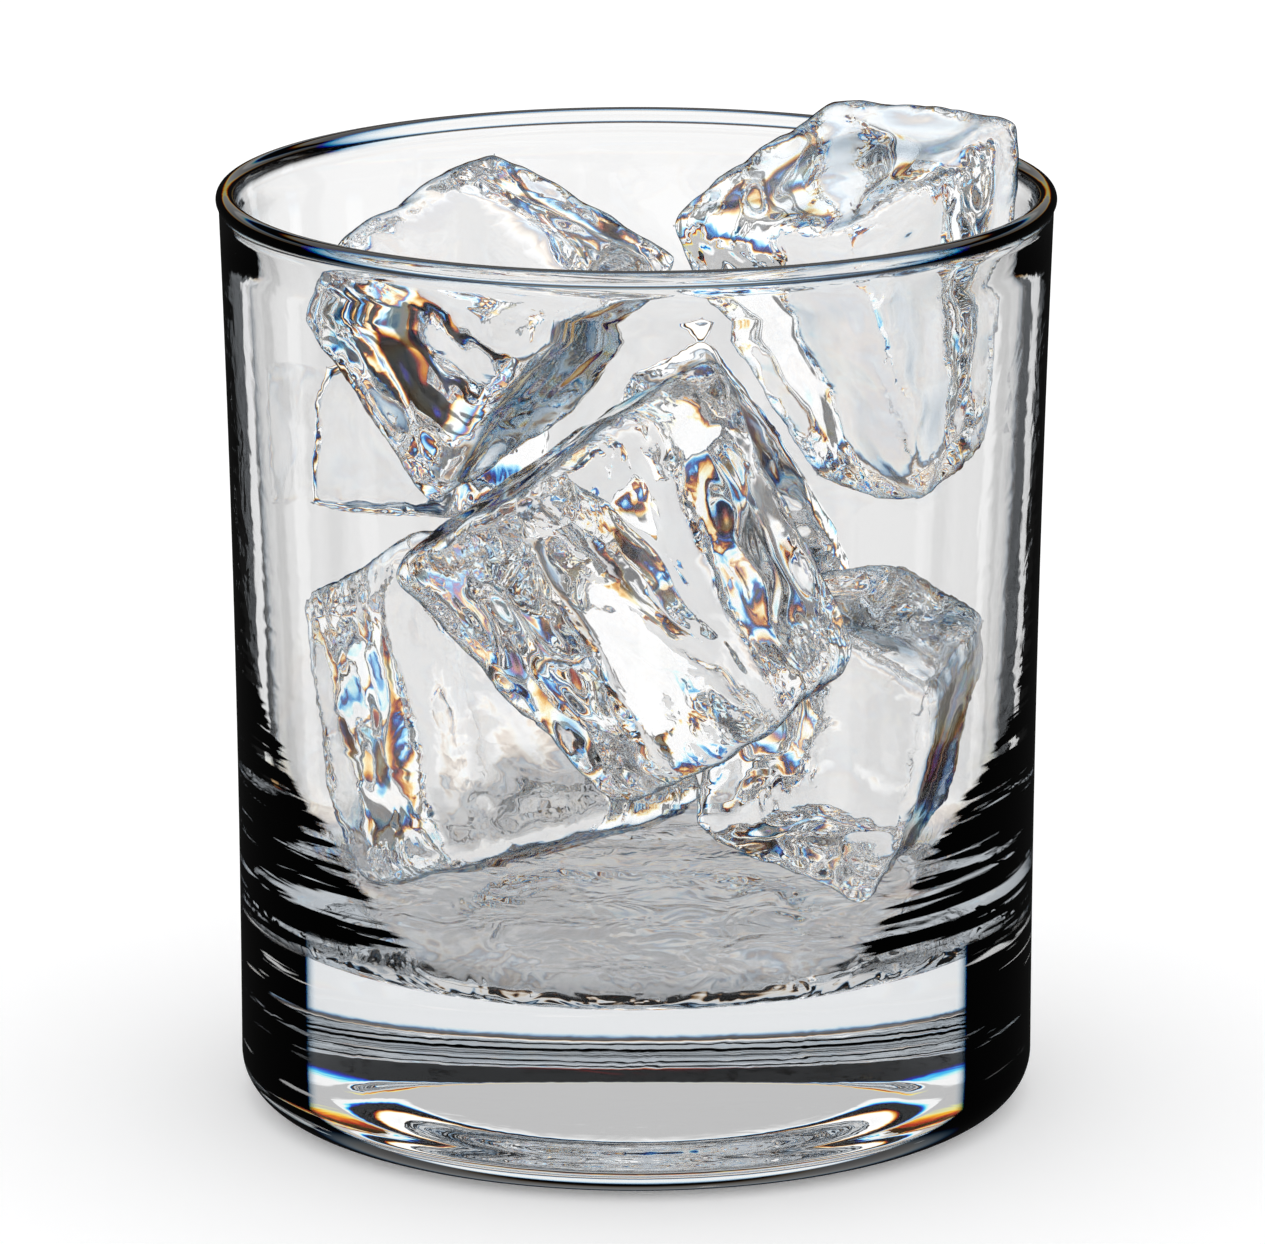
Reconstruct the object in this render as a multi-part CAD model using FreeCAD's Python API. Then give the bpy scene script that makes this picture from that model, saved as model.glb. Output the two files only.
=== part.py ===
import FreeCAD, Part
import math
import os

# A heavy-based drinking tumbler holding loose blocks of clear ice. Millimetres, +Z up,
# origin at the centre of the foot, on the surface the tumbler stands on.

os.makedirs("parts", exist_ok=True)

# Overall sizes of the tumbler
HEIGHT = 93.5
MOUTH_DIA = 84.0
FOOT_DIA = 80.5

# Outer wall: half way up it stands in from a straight line between foot and rim
WALL_BOW = 0.43
FOOT_CORNER_R = 4.45

# Fire-polished rim bead
BEAD_R = 1.0
BEAD_OUTER_JOIN_DEG = -45.0
BEAD_TOP_DEG = 90.0
BEAD_INNER_JOIN_DEG = 215.0
LIP_DROP = 0.8

# Wall: how far the bead stands out from it, and its thickness under the bead and half way up
BEAD_STEP = 0.3
WALL_AT_RIM = 2.25
WALL_AT_WAIST = 3.455

# Cavity: straight tapered wall, wide shoulder curve, tight heel, flat floor
SHOULDER_Z = 38.0
SHOULDER_R = 49.0
SHOULDER_END_DEG = 24.2
HEEL_R = 4.3

# Underside: flat contact ring round a shallow dimple with a flat top
DIMPLE_DIA = 42.0
DIMPLE_FLAT_DIA = 30.0
DIMPLE_DEPTH = 1.2

# Ice blocks: melted rounding of every edge and corner
ICE_CORNER_R = 4.5

# Each block: node, base length and width, height, top length and width,
# centre (x, y, z), then yaw, pitch and roll in degrees
ICE_BLOCKS = [
    ("ice_leaning", 34.4, 29.0, 37.5, 14.4, 15.6, (24.1, 4.0, 79.2), -129.3, 17.8, -178.3),
    ("ice_upper_left", 27.1, 32.3, 26.0, 14.4, 28.4, (-16.1, 1.2, 81.0), 128.0, 50.8, -19.4),
    ("ice_back_left", 21.9, 18.4, 28.0, 11.7, 12.0, (-19.8, 19.8, 61.1), 147.6, 4.0, 107.7),
    ("ice_front", 27.6, 37.5, 36.2, 27.8, 18.1, (0.8, -18.7, 55.9), 135.0, 30.8, 162.4),
    ("ice_middle", 24.6, 34.0, 33.6, 10.2, 22.7, (8.7, 10.5, 58.5), 21.3, -22.5, 39.7),
    ("ice_lower_left", 32.1, 32.5, 36.7, 22.4, 23.9, (-15.9, -1.7, 39.8), 134.4, 27.8, 0.4),
    ("ice_lower_right", 35.9, 28.4, 24.9, 27.1, 13.3, (23.6, -1.0, 37.8), 115.0, 69.7, 63.0),
]


def at_angle(centre, radius, degrees):
    a = math.radians(degrees)
    return FreeCAD.Vector(centre.x + radius * math.cos(a), 0, centre.z + radius * math.sin(a))


def arc_through(start, middle, end):
    """An arc through three points, as a spline, so that it also revolves well where it is wide."""
    return Part.Arc(start, middle, end).toBSpline().toShape()


def arc(centre, radius, start_deg, end_deg):
    middle = at_angle(centre, radius, (start_deg + end_deg) / 2.0)
    return arc_through(at_angle(centre, radius, start_deg), middle, at_angle(centre, radius, end_deg))


def line(a, b):
    return Part.makeLine(a, b)


def cavity_profile(waist_r):
    """Named points of the cavity, a wall's thickness inside the outer wall."""
    wall_top = FreeCAD.Vector(MOUTH_DIA / 2.0 - BEAD_STEP - WALL_AT_RIM, 0, HEIGHT - 2.0 * BEAD_R - LIP_DROP)
    wall_foot = FreeCAD.Vector(waist_r - WALL_AT_WAIST, 0, SHOULDER_Z)
    taper_deg = math.degrees(math.atan2(wall_top.x - wall_foot.x, wall_top.z - wall_foot.z))
    shoulder_c = at_angle(wall_foot, -SHOULDER_R, -taper_deg)
    shoulder_end = at_angle(shoulder_c, SHOULDER_R, -SHOULDER_END_DEG)
    heel_c = at_angle(shoulder_end, -HEEL_R, -SHOULDER_END_DEG)
    return wall_top, wall_foot, taper_deg, shoulder_c, heel_c


def dimple_side():
    """Two equal arcs that lead from the dimple's flat top down to the contact ring."""
    half_run = (DIMPLE_DIA - DIMPLE_FLAT_DIA) / 4.0
    half_drop = DIMPLE_DEPTH / 2.0
    radius = (half_run ** 2 + half_drop ** 2) / (2.0 * half_drop)
    bend = 2.0 * math.degrees(math.atan2(half_drop, half_run))
    upper_c = FreeCAD.Vector(DIMPLE_FLAT_DIA / 2.0, 0, DIMPLE_DEPTH - radius)
    lower_c = FreeCAD.Vector(DIMPLE_DIA / 2.0, 0, radius)
    return arc(upper_c, radius, 90.0, 90.0 - bend), arc(lower_c, radius, 270.0 - bend, 270.0)


def tumbler():
    """One solid of revolution: foot, wall, rim bead, cavity and dimpled underside."""
    foot_r = FOOT_DIA / 2.0
    corner_c = FreeCAD.Vector(foot_r - FOOT_CORNER_R, 0, FOOT_CORNER_R)
    bead_c = FreeCAD.Vector(MOUTH_DIA / 2.0 - BEAD_R, 0, HEIGHT - BEAD_R)
    bead_out = at_angle(bead_c, BEAD_R, BEAD_OUTER_JOIN_DEG)
    bead_in = at_angle(bead_c, BEAD_R, BEAD_INNER_JOIN_DEG)
    waist = FreeCAD.Vector((foot_r + bead_out.x) / 2.0 - WALL_BOW, 0, HEIGHT / 2.0)
    wall_top, wall_foot, taper_deg, shoulder_c, heel_c = cavity_profile(waist.x)
    floor_z = heel_c.z - HEEL_R
    outer_foot = at_angle(corner_c, FOOT_CORNER_R, 0.0)
    dimple_flat = FreeCAD.Vector(DIMPLE_FLAT_DIA / 2.0, 0, DIMPLE_DEPTH)
    dimple_edge = FreeCAD.Vector(DIMPLE_DIA / 2.0, 0, 0)
    upper_side, lower_side = dimple_side()
    edges = [
        line(FreeCAD.Vector(0, 0, DIMPLE_DEPTH), dimple_flat),
        upper_side,
        lower_side,
        line(dimple_edge, at_angle(corner_c, FOOT_CORNER_R, -90.0)),
        arc(corner_c, FOOT_CORNER_R, -90.0, 0.0),
        arc_through(outer_foot, waist, bead_out),
        arc(bead_c, BEAD_R, BEAD_OUTER_JOIN_DEG, BEAD_TOP_DEG),
        arc(bead_c, BEAD_R, BEAD_TOP_DEG, BEAD_INNER_JOIN_DEG),
        line(bead_in, wall_top),
        line(wall_top, wall_foot),
        arc(shoulder_c, SHOULDER_R, -taper_deg, -SHOULDER_END_DEG),
        arc(heel_c, HEEL_R, -SHOULDER_END_DEG, -90.0),
        line(at_angle(heel_c, HEEL_R, -90.0), FreeCAD.Vector(0, 0, floor_z)),
        line(FreeCAD.Vector(0, 0, floor_z), FreeCAD.Vector(0, 0, DIMPLE_DEPTH)),
    ]
    face = Part.Face(Part.Wire(edges))
    return face.revolve(FreeCAD.Vector(0, 0, 0), FreeCAD.Vector(0, 0, 1), 360)


def ice_block(length, width, height, top_length, top_width):
    """A half-melted block: it narrows from base to top and is round at every edge and corner."""
    a = length / 2.0
    b = width / 2.0
    c = height / 2.0
    ta = top_length / 2.0
    tb = top_width / 2.0
    wedge = Part.makeWedge(-a, -c, -b, -tb, -ta, a, c, b, tb, ta)
    wedge.rotate(FreeCAD.Vector(0, 0, 0), FreeCAD.Vector(1, 0, 0), 90)
    return wedge.makeFillet(ICE_CORNER_R, wedge.Edges)


def placed(shape, centre, yaw, pitch, roll):
    shape.Placement = FreeCAD.Placement(
        FreeCAD.Vector(*centre), FreeCAD.Rotation(yaw, pitch, roll)
    ).multiply(shape.Placement)
    return shape


def write(shape, node):
    shape.exportStep("parts/" + node + ".step")


write(tumbler(), "tumbler")
for node, length, width, height, top_length, top_width, centre, yaw, pitch, roll in ICE_BLOCKS:
    block = ice_block(length, width, height, top_length, top_width)
    write(placed(block, centre, yaw, pitch, roll), node)
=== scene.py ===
import math
import bpy
from mathutils import Euler, Matrix, Vector


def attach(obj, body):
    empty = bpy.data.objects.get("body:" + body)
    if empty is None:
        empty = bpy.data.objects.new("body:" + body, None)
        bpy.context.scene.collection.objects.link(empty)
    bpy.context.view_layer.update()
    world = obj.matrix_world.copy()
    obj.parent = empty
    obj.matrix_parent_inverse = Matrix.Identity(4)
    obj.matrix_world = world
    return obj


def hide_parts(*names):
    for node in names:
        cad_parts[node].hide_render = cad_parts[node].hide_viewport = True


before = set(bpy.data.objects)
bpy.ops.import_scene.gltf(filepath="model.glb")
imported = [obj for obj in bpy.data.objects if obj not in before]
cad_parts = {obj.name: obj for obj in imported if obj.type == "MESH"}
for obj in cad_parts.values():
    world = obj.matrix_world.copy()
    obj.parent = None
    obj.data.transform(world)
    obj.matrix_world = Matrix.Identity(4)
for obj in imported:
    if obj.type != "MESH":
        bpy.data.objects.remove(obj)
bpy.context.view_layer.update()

MM = 0.001

# Tumbler sizes, millimetres
HEIGHT = 93.5
MOUTH_R = 42.0
BEAD_R = 1.0
BEAD_OUT_DEG = -45.0
BEAD_IN_DEG = 215.0
WAIST_R = 40.55
FOOT_R = 40.25
FOOT_CORNER_R = 4.45
DIMPLE_R = 21.0
DIMPLE_FLAT_R = 15.0
DIMPLE_DEPTH = 1.2
CAVITY_TOP_R = 39.45
CAVITY_TOP_Z = 90.7
WALL_TAPER_DEG = 2.56
SHOULDER_Z = 38.0
SHOULDER_R = 49.0
SHOULDER_END_DEG = 24.2
HEEL_R = 4.3
TURN_STEPS = 288

# Melting of the ice: mesh cuts a side, rounding passes, and in millimetres the bands beside
# the edges and the hollow of the faces
ICE_CUTS = 60
ROUND_STEPS = 480
SETTLE_STEPS = 40
EDGE_START = 2.5
EDGE_BAND = 8.0
DISH_DEPTH = 1.1

# Heights between which the tumbler's painted shade and relief change, millimetres
UNDERSIDE = (0.2, 0.4)
FOOT_ROUND = (3.5, 5.5)
BELT_BOTTOM = (12.8, 13.4)
BELT_TOP = (20.0, 21.2)
FLOOR_BOTTOM = (15.0, 16.0)
FLOOR_TOP = (18.6, 23.0)
SOLID_TOP = (20.0, 23.0)
STREAKS = (21.0, 55.0)
RINGS_START = (16.0, 20.0)
RINGS_FADE = (36.0, 62.0)
BEAD_START = (HEIGHT - 2.1, HEIGHT - 1.6)

# Radii of its painted shade and relief, millimetres: the outer skin at the foot and above it,
# the cavity's floor, and the faint crown of the underside from its start to its end
OUTER_SKIN = (34.5, 39.5)
FLOOR_R = 36.0
CROWN = (20.5, 29.0)

# Optics
GLASS_IOR = 1.5
ICE_IOR = 1.33
WHITE = (1.0, 1.0, 1.0, 1.0)
BLACK = (0.0, 0.0, 0.0, 1.0)
# Painted shade: greyer belt across the solid base
BELT_PAINTED_SHADE = (0.74, 0.77, 0.80, 1.0)
# Painted shade: dark cavity floor inside the glass
FLOOR_PAINTED_SHADE = (0.15, 0.158, 0.17, 1.0)

# Studio seen in the glass, degrees above the level. A gap has its start, end and darkness
FRINGE = 0.8
GAPS_THROUGH = (
    (8.0, 20.0, 0.9), (36.0, 46.0, 0.85), (60.0, 68.0, 0.8),
    (-42.0, -36.0, 0.35), (-62.0, -57.0, 0.25))
GAPS_IN_ICE = (
    (-4.0, 4.0, 0.95), (24.0, 38.0, 0.97), (48.0, 53.0, 0.8), (60.0, 68.0, 0.95),
    (-36.0, -27.0, 0.92), (-52.0, -46.0, 0.75), (-70.0, -60.0, 0.9))
PIPED_LIGHT = (0.50, 0.535, 0.57, 1.0)

# Camera: degrees down, metres, and its lens in millimetres
CAMERA_TILT = 14.326
CAMERA_DISTANCE = 0.92312
CAMERA_AIM_HEIGHT = 0.04674
CAMERA_ASIDE = -0.000384
CAMERA_RAISE = 0.001748
CAMERA_LENS = 259.9

# Ice blocks: base length and width, height, top length and width, centre, yaw, pitch, roll
ICE = {
    "ice_leaning": (34.4, 29.0, 37.5, 14.4, 15.6, (24.1, 4.0, 79.2), -129.3, 17.8, -178.3),
    "ice_upper_left": (27.1, 32.3, 26.0, 14.4, 28.4, (-16.1, 1.2, 81.0), 128.0, 50.8, -19.4),
    "ice_back_left": (21.9, 18.4, 28.0, 11.7, 12.0, (-19.8, 19.8, 61.1), 147.6, 4.0, 107.7),
    "ice_front": (27.6, 37.5, 36.2, 27.8, 18.1, (0.8, -18.7, 55.9), 135.0, 30.8, 162.4),
    "ice_middle": (24.6, 34.0, 33.6, 10.2, 22.7, (8.7, 10.5, 58.5), 21.3, -22.5, 39.7),
    "ice_lower_left": (32.1, 32.5, 36.7, 22.4, 23.9, (-15.9, -1.7, 39.8), 134.4, 27.8, 0.4),
    "ice_lower_right": (35.9, 28.4, 24.9, 27.1, 13.3, (23.6, -1.0, 37.8), 115.0, 69.7, 63.0),
}


# ---------------------------------------------------------------- node helpers
def new_tree(owner):
    owner.use_nodes = True
    owner.node_tree.nodes.clear()
    return owner.node_tree


def add(tree, kind, **settings):
    node = tree.nodes.new(kind)
    for key, value in settings.items():
        setattr(node, key, value)
    return node


def put(tree, socket, value):
    if hasattr(value, "is_linked"):
        tree.links.new(value, socket)
    else:
        socket.default_value = value


def math_node(tree, operation, a, b=0.0, c=0.0):
    node = add(tree, "ShaderNodeMath", operation=operation)
    for socket, value in zip(node.inputs, (a, b, c)):
        put(tree, socket, value)
    return node.outputs[0]


def ramp(tree, value, low, high, start=0.0, end=1.0):
    node = add(tree, "ShaderNodeMapRange", interpolation_type="SMOOTHSTEP")
    for socket, item in zip(node.inputs, (value, low, high, start, end)):
        put(tree, socket, item)
    return node.outputs[0]


def blend(tree, factor, a, b):
    node = add(tree, "ShaderNodeMix", data_type="RGBA")
    put(tree, node.inputs[0], factor)
    put(tree, node.inputs[6], a)
    put(tree, node.inputs[7], b)
    return node.outputs[2]


def object_coordinates(tree, stretch=(1.0, 1.0, 1.0)):
    place = add(tree, "ShaderNodeTexCoord")
    mapping = add(tree, "ShaderNodeMapping")
    mapping.inputs["Scale"].default_value = stretch
    tree.links.new(place.outputs["Object"], mapping.inputs["Vector"])
    return mapping.outputs["Vector"]


def noise(tree, vector, scale, detail=2.0, rough=0.5, twist=0.0):
    node = add(tree, "ShaderNodeTexNoise")
    put(tree, node.inputs["Vector"], vector)
    node.inputs["Scale"].default_value = scale
    node.inputs["Detail"].default_value = detail
    node.inputs["Roughness"].default_value = rough
    node.inputs["Distortion"].default_value = twist
    return node.outputs["Fac"]


def bump(tree, height, strength, distance, normal=None):
    node = add(tree, "ShaderNodeBump")
    put(tree, node.inputs["Strength"], strength)
    node.inputs["Distance"].default_value = distance
    put(tree, node.inputs["Height"], height)
    if normal is not None:
        put(tree, node.inputs["Normal"], normal)
    return node.outputs["Normal"]


def blend_value(tree, factor, a, b):
    node = add(tree, "ShaderNodeMix", data_type="FLOAT")
    put(tree, node.inputs[0], factor)
    put(tree, node.inputs[2], a)
    put(tree, node.inputs[3], b)
    return node.outputs[0]


def blend_multiply(tree, a, b):
    node = add(tree, "ShaderNodeMix", data_type="RGBA", blend_type="MULTIPLY")
    put(tree, node.inputs[0], 1.0)
    put(tree, node.inputs[6], a)
    put(tree, node.inputs[7], b)
    return node.outputs[2]


def product(tree, *values):
    total = values[0]
    for value in values[1:]:
        total = math_node(tree, "MULTIPLY", total, value)
    return total


def between_heights(tree, height, band, start=0.0, end=1.0):
    """Smooth change from start to end over a band of heights in millimetres."""
    return ramp(tree, height, band[0] * MM, band[1] * MM, start, end)


def distance_from_axis(tree, place):
    flat = add(tree, "ShaderNodeVectorMath", operation="MULTIPLY")
    put(tree, flat.inputs[0], place)
    flat.inputs[1].default_value = (1.0, 1.0, 0.0)
    length = add(tree, "ShaderNodeVectorMath", operation="LENGTH")
    put(tree, length.inputs[0], flat.outputs[0])
    return length.outputs["Value"]


def turned_away(tree):
    """0 where the surface faces the viewer, and 1 where it is seen edge on."""
    facing = add(tree, "ShaderNodeLayerWeight")
    facing.inputs["Blend"].default_value = 0.5
    return facing.outputs["Facing"]


# ------------------------------------------------------------------- materials
def clear_body(tree, ior):
    """A smooth clear shader on the material's output."""
    out = add(tree, "ShaderNodeOutputMaterial")
    body = add(tree, "ShaderNodeBsdfPrincipled")
    body.inputs["Roughness"].default_value = 0.0
    body.inputs["IOR"].default_value = ior
    body.inputs["Transmission Weight"].default_value = 1.0
    tree.links.new(body.outputs[0], out.inputs["Surface"])
    return body


def painted_dark_edges(tree, low, high, dark, spread):
    """Painted shade: grey that darkens clear material where it turns away, with a faint painted
    colour fringe, in place of dark surroundings seen in it.
    """
    facing = turned_away(tree)
    join = add(tree, "ShaderNodeCombineXYZ")
    for socket, shift in zip(join.inputs, (-spread, 0.0, spread)):
        put(tree, socket, ramp(tree, facing, low + shift, high + shift, 1.0, dark))
    return join.outputs[0]


def glass_painted_shade(tree, height, radius, on_floor):
    """Painted shade on the tumbler's clear glass: its wall, solid base and rim bead painted dark
    where they turn away, and its cavity floor painted dark.
    """
    skin = between_heights(tree, height, FOOT_ROUND, OUTER_SKIN[0] * MM, OUTER_SKIN[1] * MM)
    back = add(tree, "ShaderNodeNewGeometry").outputs["Backfacing"]
    front = math_node(tree, "SUBTRACT", 1.0, back)
    outside = product(tree, math_node(tree, "GREATER_THAN", radius, skin), front)
    # Noise that breaks up the painted black streaks and the painted pale patches
    painted_streak_noise = noise(tree, object_coordinates(tree, (0.045, 0.045, 1.0)), 950.0, 2.0, 0.6, 0.5)

    # Wall, with painted black streaks at its sides, in place of a dark surround seen there, that
    # reach further round lower down
    limit = between_heights(tree, height, STREAKS, 0.20, 0.80)
    limit = math_node(tree, "MULTIPLY_ADD", math_node(tree, "SUBTRACT", painted_streak_noise, 0.5), 0.22, limit)
    past = ramp(tree, math_node(tree, "SUBTRACT", turned_away(tree), limit), 0.0, 0.03)
    painted_black_streak = ramp(tree, painted_streak_noise, 0.53, 0.60, 1.0, 0.0)
    # Painted shade: the wall darkens to near black where it turns away
    wall = painted_dark_edges(tree, 0.80, 0.90, 0.10, 0.004)
    wall = blend(tree, product(tree, past, painted_black_streak, outside), wall, BLACK)

    # Solid base, painted black at its sides, with a painted greyer belt and painted pale patches
    solid = painted_dark_edges(tree, 0.440, 0.475, 0.0, 0.002)
    belt = between_heights(tree, height, BELT_BOTTOM)
    belt = product(tree, belt, between_heights(tree, height, BELT_TOP, 1.0, 0.0))
    solid = blend(tree, belt, solid, blend_multiply(tree, solid, BELT_PAINTED_SHADE))
    solid = blend(tree, ramp(tree, painted_streak_noise, 0.64, 0.70, 0.0, 0.35), solid, WHITE)

    below = between_heights(tree, height, SOLID_TOP, 1.0, 0.0)
    painted_shade = blend(tree, product(tree, below, outside), wall, solid)
    # Painted shade: the rim bead darkens to black where it turns away
    bead = painted_dark_edges(tree, 0.20, 0.36, 0.0, 0.02)
    painted_shade = blend(tree, between_heights(tree, height, BEAD_START), painted_shade, bead)
    # The cavity floor painted dark, as painted shade
    return blend(tree, product(tree, on_floor, 0.85), painted_shade, FLOOR_PAINTED_SHADE)


def glass_relief(tree, place, height, radius, on_floor):
    """Faint rings round the wall, a rippled cavity floor and a low crown underneath."""
    rings = noise(tree, object_coordinates(tree, (0.18, 0.18, 1.0)), 380.0, 1.0, 0.55, 0.6)
    strength = between_heights(tree, height, RINGS_START)
    strength = product(tree, strength, between_heights(tree, height, RINGS_FADE, 0.13, 0.03))
    normal = bump(tree, rings, strength, 0.2 * MM)
    ripples = noise(tree, place, 170.0, 2.0, 0.6, 0.8)
    strength = math_node(tree, "MULTIPLY_ADD", on_floor, 0.8, 0.012)
    normal = bump(tree, ripples, strength, 1.2 * MM, normal)
    crown = add(tree, "ShaderNodeMapRange")
    for socket, value in zip(crown.inputs, (radius, CROWN[0] * MM, CROWN[1] * MM, 0.0, 1.0)):
        put(tree, socket, value)
    underneath = between_heights(tree, height, UNDERSIDE, 1.0, 0.0)
    return bump(tree, product(tree, crown.outputs[0], underneath), 1.0, 0.7 * MM, normal)


def clear_glass():
    """Clear glass with painted shade, dark where it turns away and on its cavity floor, with the
    faint relief that pressing leaves.
    """
    material = bpy.data.materials.new("clear_glass")
    tree = new_tree(material)
    glass = clear_body(tree, GLASS_IOR)
    place = object_coordinates(tree)
    split = add(tree, "ShaderNodeSeparateXYZ")
    tree.links.new(place, split.inputs[0])
    height = split.outputs[2]
    radius = distance_from_axis(tree, place)
    on_floor = product(
        tree,
        math_node(tree, "LESS_THAN", radius, FLOOR_R * MM),
        between_heights(tree, height, FLOOR_BOTTOM),
        between_heights(tree, height, FLOOR_TOP, 1.0, 0.0))
    # The base colour carries the tumbler's painted shade
    put(tree, glass.inputs["Base Color"], glass_painted_shade(tree, height, radius, on_floor))
    put(tree, glass.inputs["Normal"], glass_relief(tree, place, height, radius, on_floor))
    return material


def clear_ice():
    """Clear ice, painted darker where it turns away: smooth melted faces between beaded, rippled
    edges.
    """
    material = bpy.data.materials.new("clear_ice")
    tree = new_tree(material)
    ice = clear_body(tree, ICE_IOR)
    # Painted shade: the ice darkens to black where it turns away, with a faint painted colour
    # fringe
    put(tree, ice.inputs["Base Color"], painted_dark_edges(tree, 0.50, 0.80, 0.0, 0.02))
    place = object_coordinates(tree)
    edge = add(tree, "ShaderNodeAttribute", attribute_name="edge_share").outputs["Fac"]
    patch = ramp(tree, noise(tree, place, 130.0, 1.0, 0.55, 0.4), 0.35, 0.60)
    rough = product(tree, edge, patch)
    beads = add(tree, "ShaderNodeTexVoronoi", feature="F1")
    put(tree, beads.inputs["Vector"], place)
    beads.inputs["Scale"].default_value = 620.0
    normal = bump(tree, noise(tree, place, 60.0, 1.0, 0.4, 0.2), 0.30, 0.8 * MM)
    grain = noise(tree, place, 450.0, 1.0, 0.5, 0.6)
    normal = bump(tree, grain, product(tree, rough, 0.30), 0.7 * MM, normal)
    normal = bump(tree, beads.outputs["Distance"], product(tree, rough, 0.25), 0.4 * MM, normal)
    put(tree, ice.inputs["Normal"], normal)
    return material


def pale_floor():
    """A plain white table that keeps the soft shadow. Glass looks past it to the studio."""
    material = bpy.data.materials.new("pale_floor")
    tree = new_tree(material)
    out = add(tree, "ShaderNodeOutputMaterial")
    rays = add(tree, "ShaderNodeLightPath")
    matt = add(tree, "ShaderNodeBsdfDiffuse")
    matt.inputs["Color"].default_value = (0.96, 0.96, 0.965, 1.0)
    lift = add(tree, "ShaderNodeEmission")
    lift.inputs["Strength"].default_value = 0.16
    material.cycles.emission_sampling = "NONE"
    both = add(tree, "ShaderNodeAddShader")
    tree.links.new(matt.outputs[0], both.inputs[0])
    tree.links.new(lift.outputs[0], both.inputs[1])
    glossy = rays.outputs["Is Glossy Ray"]
    through = rays.outputs["Is Transmission Ray"]
    clear = add(tree, "ShaderNodeBsdfTransparent")
    mix = add(tree, "ShaderNodeMixShader")
    put(tree, mix.inputs[0], math_node(tree, "MAXIMUM", glossy, through))
    tree.links.new(both.outputs[0], mix.inputs[1])
    tree.links.new(clear.outputs[0], mix.inputs[2])
    tree.links.new(mix.outputs[0], out.inputs["Surface"])
    return material


# ------------------------------------------------------------------ mesh tools
def clear_selection():
    if bpy.context.mode != "OBJECT":
        bpy.ops.object.mode_set(mode="OBJECT")
    bpy.ops.object.select_all(action="DESELECT")


def finish_mesh(piece):
    """Bake the object's place into its mesh, with smooth outward faces."""
    clear_selection()
    piece.select_set(True)
    bpy.context.view_layer.objects.active = piece
    bpy.ops.object.transform_apply(location=True, rotation=True, scale=True)
    bpy.ops.object.mode_set(mode="EDIT")
    bpy.ops.mesh.select_all(action="SELECT")
    bpy.ops.mesh.remove_doubles(threshold=1e-7)
    bpy.ops.mesh.normals_make_consistent(inside=False)
    bpy.ops.object.mode_set(mode="OBJECT")
    bpy.ops.object.shade_smooth()


def select_last(piece):
    """Leave only the newest vertex of a growing profile selected."""
    bpy.ops.object.mode_set(mode="OBJECT")
    last = len(piece.data.vertices) - 1
    for vertex in piece.data.vertices:
        vertex.select = vertex.index == last
    bpy.ops.object.mode_set(mode="EDIT")


def run_to(piece, radius, height, steps=1):
    """Grow the profile in a straight run to a radius and height."""
    bpy.ops.object.mode_set(mode="OBJECT")
    here = piece.data.vertices[-1].co.copy()
    bpy.ops.object.mode_set(mode="EDIT")
    step = (Vector((radius * MM, 0.0, height * MM)) - here) / steps
    for _ in range(steps):
        bpy.ops.mesh.extrude_region_move(TRANSFORM_OT_translate={"value": step})
        select_last(piece)


def turn_about(piece, centre_r, centre_z, degrees, steps):
    """Grow the profile in an arc about a centre, counter-clockwise seen with the mouth up."""
    bpy.ops.mesh.spin(
        steps=steps, angle=math.radians(degrees), axis=(0.0, 1.0, 0.0),
        center=(centre_r * MM, 0.0, centre_z * MM))
    select_last(piece)


# --------------------------------------------------------------------- tumbler
def circle_through(a, b, c):
    """Centre of the circle through three points, and the turn from a to c in degrees."""
    ax, ay = a
    bx, by = b
    cx, cy = c
    square_a = ax * ax + ay * ay
    square_b = bx * bx + by * by
    square_c = cx * cx + cy * cy
    scale = 2.0 * (ax * (by - cy) + bx * (cy - ay) + cx * (ay - by))
    centre_x = (square_a * (by - cy) + square_b * (cy - ay) + square_c * (ay - by)) / scale
    centre_y = (square_a * (cx - bx) + square_b * (ax - cx) + square_c * (bx - ax)) / scale
    start = math.atan2(ay - centre_y, ax - centre_x)
    end = math.atan2(cy - centre_y, cx - centre_x)
    turn = math.degrees(end - start)
    return centre_x, centre_y, (turn + 180.0) % 360.0 - 180.0


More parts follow.
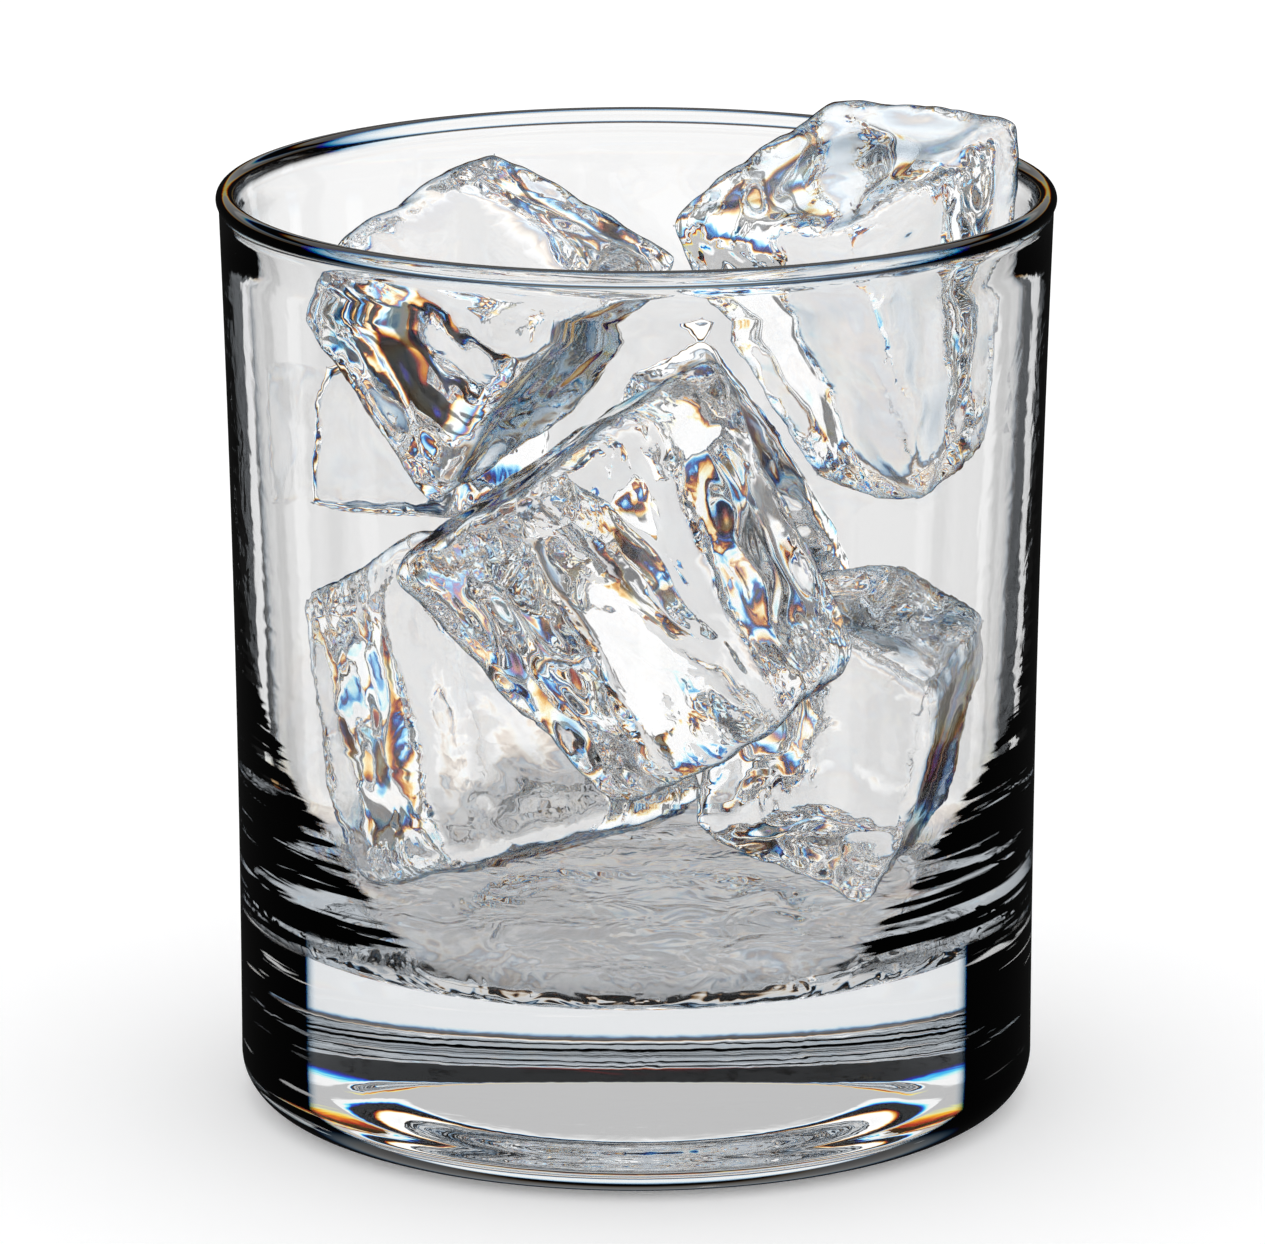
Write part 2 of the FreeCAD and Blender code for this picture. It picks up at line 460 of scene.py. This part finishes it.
def tumbler(material):
    """The drinking glass: one profile, grown from the axis of the underside and turned."""
    bpy.ops.mesh.primitive_plane_add(size=MM, location=(0.0, 0.0, 0.0))
    piece = bpy.context.object
    piece.name = "tumbler_glass"
    bpy.ops.object.mode_set(mode="EDIT")
    bpy.ops.mesh.merge(type="CENTER")
    bpy.ops.transform.translate(value=(0.0, 0.0, DIMPLE_DEPTH * MM))
    select_last(piece)

    # Dimpled underside and flat foot ring
    run_to(piece, DIMPLE_FLAT_R, DIMPLE_DEPTH, steps=4)
    half_w = (DIMPLE_R - DIMPLE_FLAT_R) / 2.0
    half_h = DIMPLE_DEPTH / 2.0
    radius = (half_w ** 2 + half_h ** 2) / (2.0 * half_h)
    bend = 2.0 * math.degrees(math.atan2(half_h, half_w))
    turn_about(piece, DIMPLE_FLAT_R, DIMPLE_DEPTH - radius, -bend, steps=10)
    turn_about(piece, DIMPLE_R, radius, bend, steps=10)
    corner_r = FOOT_R - FOOT_CORNER_R
    run_to(piece, corner_r, 0.0, steps=3)
    turn_about(piece, corner_r, FOOT_CORNER_R, 90.0, steps=22)

    # Outer wall and rim bead
    bead_r = MOUTH_R - BEAD_R
    bead_z = HEIGHT - BEAD_R
    join = math.radians(BEAD_OUT_DEG)
    top = (bead_r + BEAD_R * math.cos(join), bead_z + BEAD_R * math.sin(join))
    foot = (FOOT_R, FOOT_CORNER_R)
    waist = (WAIST_R, HEIGHT / 2.0)
    centre_r, centre_z, turn = circle_through(foot, waist, top)
    turn_about(piece, centre_r, centre_z, turn, steps=26)
    turn_about(piece, bead_r, bead_z, BEAD_IN_DEG - BEAD_OUT_DEG, steps=30)

    # Cavity: wall, shoulder, heel and floor
    taper = math.radians(WALL_TAPER_DEG)
    foot_of_wall = CAVITY_TOP_R - (CAVITY_TOP_Z - SHOULDER_Z) * math.tan(taper)
    run_to(piece, CAVITY_TOP_R, CAVITY_TOP_Z)
    run_to(piece, foot_of_wall, SHOULDER_Z, steps=12)
    shoulder_r = foot_of_wall - SHOULDER_R * math.cos(taper)
    shoulder_z = SHOULDER_Z + SHOULDER_R * math.sin(taper)
    turn_about(piece, shoulder_r, shoulder_z, WALL_TAPER_DEG - SHOULDER_END_DEG, steps=26)
    end = math.radians(SHOULDER_END_DEG)
    heel_r = shoulder_r + (SHOULDER_R - HEEL_R) * math.cos(end)
    heel_z = shoulder_z - (SHOULDER_R - HEEL_R) * math.sin(end)
    turn_about(piece, heel_r, heel_z, SHOULDER_END_DEG - 90.0, steps=20)
    run_to(piece, 0.0, heel_z - HEEL_R, steps=6)

    # Turn the profile about the upright axis
    bpy.ops.mesh.select_all(action="SELECT")
    bpy.ops.mesh.spin(
        steps=TURN_STEPS, angle=math.tau, axis=(0.0, 0.0, 1.0), center=(0.0, 0.0, 0.0))
    bpy.ops.object.mode_set(mode="OBJECT")
    finish_mesh(piece)
    piece.data.materials.append(material)
    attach(piece, "root")
    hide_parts("tumbler")
    return piece


# ------------------------------------------------------------------ ice blocks
def smooth_step(value, low, high):
    share = min(1.0, max(0.0, (value - low) / (high - low)))
    return share * share * (3.0 - 2.0 * share)


def lumps(piece, name, size, depth, group=""):
    """Melt the surface in by up to a depth, in lumps of a size, both in millimetres."""
    texture = bpy.data.textures.new(name, "CLOUDS")
    texture.noise_scale = size * MM
    texture.noise_depth = 1
    texture.contrast = 1.4
    melt = piece.modifiers.new(name, "DISPLACE")
    melt.texture = texture
    melt.texture_coords = "GLOBAL"
    melt.mid_level = 1.0
    melt.strength = depth * MM
    melt.vertex_group = group
    bpy.ops.object.modifier_apply(modifier=name)


def soften(piece, passes):
    soft = piece.modifiers.new("soften", "SMOOTH")
    soft.factor = 0.5
    soft.iterations = passes
    bpy.ops.object.modifier_apply(modifier="soften")


def ice_block(node, sizes, material):
    """One block of ice: a tapered block, melted round and hollow, set in its place."""
    length, width, height, top_length, top_width, centre, yaw, pitch, roll = sizes
    clear_selection()
    bpy.ops.mesh.primitive_cube_add(size=MM, location=(0.0, 0.0, 0.0))
    piece = bpy.context.object
    piece.name = node + "_clear"
    bpy.ops.object.mode_set(mode="EDIT")
    bpy.ops.transform.resize(value=(length, width, height))
    bpy.ops.mesh.select_all(action="DESELECT")
    bpy.ops.object.mode_set(mode="OBJECT")
    for face in piece.data.polygons:
        face.select = face.normal.z > 0.9
    bpy.ops.object.mode_set(mode="EDIT")
    bpy.ops.transform.resize(value=(top_length / length, top_width / width, 1.0))
    bpy.ops.mesh.select_all(action="SELECT")
    bpy.ops.mesh.subdivide(number_cuts=ICE_CUTS)
    bpy.ops.object.mode_set(mode="OBJECT")

    # Weights by the distance from the nearest edge of the block
    edges = piece.vertex_groups.new(name="edges")
    faces = piece.vertex_groups.new(name="faces")
    shares = []
    for vertex in piece.data.vertices:
        x, y, z = vertex.co / MM
        up = z / height + 0.5
        gaps = sorted((
            0.5 * (length + (top_length - length) * up) - abs(x),
            0.5 * (width + (top_width - width) * up) - abs(y),
            0.5 * height - abs(z)))
        inward = smooth_step(gaps[1], EDGE_START, EDGE_BAND)
        faces.add([vertex.index], inward, "REPLACE")
        edges.add([vertex.index], 1.0 - inward, "REPLACE")
        shares.append(1.0 - inward)
    melt_mark = piece.data.attributes.new("edge_share", "FLOAT", "POINT")
    melt_mark.data.foreach_set("value", shares)

    # Edges melted round, and the faces hollow between them
    soften(piece, ROUND_STEPS)
    dish = piece.modifiers.new("dish", "DISPLACE")
    dish.mid_level = 0.0
    dish.strength = -DISH_DEPTH * MM
    dish.vertex_group = "faces"
    bpy.ops.object.modifier_apply(modifier="dish")
    soften(piece, SETTLE_STEPS)
    angles = [math.radians(angle) for angle in (roll, pitch, yaw)]
    turn = Euler(angles, "XYZ").to_matrix().to_4x4()
    piece.matrix_world = Matrix.Translation(Vector(centre) * MM) @ turn
    bpy.context.view_layer.update()
    lumps(piece, node + "_swell", 12.0, 1.0)
    lumps(piece, node + "_wave", 5.0, 0.5, "edges")
    lumps(piece, node + "_ripple", 2.4, 0.16, "edges")
    finish_mesh(piece)
    piece.data.materials.append(material)
    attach(piece, "root")
    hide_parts(node)
    return piece


# ---------------------------------------------------------------- studio stage
def floor():
    clear_selection()
    bpy.ops.mesh.primitive_circle_add(
        vertices=96, radius=3.0, fill_type="NGON", location=(0.0, 0.0, -0.0001))
    table = bpy.context.object
    table.name = "table_top"
    table.data.materials.append(pale_floor())


def studio():
    """White to the eye and on matt surfaces, and a lit studio with dark gaps in the glass."""
    world = bpy.data.worlds.new("studio")
    bpy.context.scene.world = world
    # Matt surfaces see an even white, which needs no map of the brightest parts
    world.cycles.sampling_method = "NONE"
    tree = new_tree(world)
    out = add(tree, "ShaderNodeOutputWorld")
    light = add(tree, "ShaderNodeBackground")
    rays = add(tree, "ShaderNodeLightPath")
    aim = add(tree, "ShaderNodeTexCoord")
    axes = add(tree, "ShaderNodeSeparateXYZ")
    tree.links.new(aim.outputs["Generated"], axes.inputs[0])
    x, y, z = axes.outputs
    degree = math.degrees(1.0)
    up = math_node(tree, "MULTIPLY", math_node(tree, "ARCSINE", z), degree)
    around = math_node(tree, "MULTIPLY", math_node(tree, "ARCTAN2", x, y), degree)

    def bright_band(low, high, soft, shift):
        rise = ramp(tree, up, low - soft + shift, low + soft + shift)
        fall = ramp(tree, up, high - soft + shift, high + soft + shift, 1.0, 0.0)
        return product(tree, rise, fall)

    def with_fringe(value_for):
        join = add(tree, "ShaderNodeCombineXYZ")
        for socket, shift in zip(join.inputs, (-FRINGE, 0.0, FRINGE)):
            put(tree, socket, value_for(shift))
        return join.outputs[0]

    def posts(count, low, high, turned=0.0):
        phase = math_node(tree, "MULTIPLY_ADD", around, math.radians(count), turned)
        return ramp(tree, math_node(tree, "COSINE", phase), low, high)

    def strongest(*values):
        total = values[0]
        for value in values[1:]:
            total = math_node(tree, "MAXIMUM", total, value)
        return total

    def with_gaps(lit, gaps, shift):
        shades = [
            product(tree, bright_band(low, high, 3.0, shift), dark) for low, high, dark in gaps]
        return product(tree, lit, math_node(tree, "SUBTRACT", 1.0, strongest(*shades)))

    crossings = rays.outputs["Transmission Depth"]
    mirrors = rays.outputs["Glossy Depth"]
    inside = math_node(tree, "GREATER_THAN", crossings, 0.5)
    crossed = math_node(tree, "GREATER_THAN", crossings, 2.5)
    mirrored = math_node(tree, "GREATER_THAN", mirrors, 0.5)
    piped = math_node(tree, "GREATER_THAN", mirrors, 2.5)
    streaks = product(tree, posts(12, 0.60, 0.90, 0.9), inside)
    cards = posts(8, -0.55, -0.90)

    def turned_in_glass(shift):
        low_panel = product(tree, bright_band(-24.0, -6.0, 3.0, shift), streaks)
        dip = product(tree, bright_band(12.0, 18.6, 0.8, 0.0), 0.45)
        panel = math_node(tree, "SUBTRACT", bright_band(11.0, 23.0, 1.0, shift), dip)
        ceiling = ramp(tree, up, 33.0 + shift, 36.0 + shift, 0.0, 1.15)
        ground = product(tree, bright_band(-66.0, -42.0, 5.0, shift), 0.7)
        return strongest(low_panel, panel, ceiling, ground, 0.012)

    def turned_in_ice(shift):
        lit = math_node(tree, "SUBTRACT", 1.15, product(tree, cards, 0.9))
        return with_gaps(lit, GAPS_IN_ICE, shift * 2.0)

    def straight_through(shift):
        low = ramp(tree, up, -34.0, -27.0, 1.10, 0.86)
        high = ramp(tree, up, 20.0, 26.0, 0.0, 1.10)
        lit = blend_value(tree, crossed, 0.97, math_node(tree, "MAXIMUM", low, high))
        return with_gaps(lit, GAPS_THROUGH, shift)

    turned_back = blend(tree, crossed, with_fringe(turned_in_glass), with_fringe(turned_in_ice))
    solid_only = math_node(tree, "SUBTRACT", 1.0, crossed)
    turned_back = blend(tree, product(tree, piped, solid_only), turned_back, PIPED_LIGHT)
    in_glass = blend(tree, mirrored, with_fringe(straight_through), turned_back)
    camera_ray = rays.outputs["Is Camera Ray"]
    diffuse_ray = rays.outputs["Is Diffuse Ray"]
    plain = math_node(tree, "MAXIMUM", camera_ray, diffuse_ray)
    tree.links.new(blend(tree, plain, in_glass, WHITE), light.inputs["Color"])
    tree.links.new(light.outputs[0], out.inputs["Surface"])


def camera():
    """Long lens that looks down a little, centred just above the glass's middle."""
    data = bpy.data.cameras.new("camera")
    view = bpy.data.objects.new("camera", data)
    bpy.context.scene.collection.objects.link(view)
    tilt = math.radians(CAMERA_TILT)
    back = CAMERA_DISTANCE * math.cos(tilt)
    over = CAMERA_DISTANCE * math.sin(tilt)
    view.location = (0.0, -back, CAMERA_AIM_HEIGHT + over)
    data.sensor_width = 36.0
    data.lens = CAMERA_LENS
    aim = Vector((CAMERA_ASIDE, back, -over))
    lift = Vector((0.0, math.sin(tilt), math.cos(tilt))) * CAMERA_RAISE
    view.rotation_euler = (aim + lift).to_track_quat("-Z", "Y").to_euler()
    data.clip_start = 0.01
    bpy.context.scene.camera = view


def render_limits():
    scene = bpy.context.scene
    scene.view_settings.view_transform = "Standard"
    scene.cycles.max_bounces = 12
    scene.cycles.transmission_bounces = 12
    scene.cycles.glossy_bounces = 8
    scene.cycles.diffuse_bounces = 1
    scene.cycles.transparent_max_bounces = 8


clear_selection()
tumbler(clear_glass())
ice_finish = clear_ice()
for node, sizes in ICE.items():
    ice_block(node, sizes, ice_finish)
floor()
studio()
camera()
render_limits()
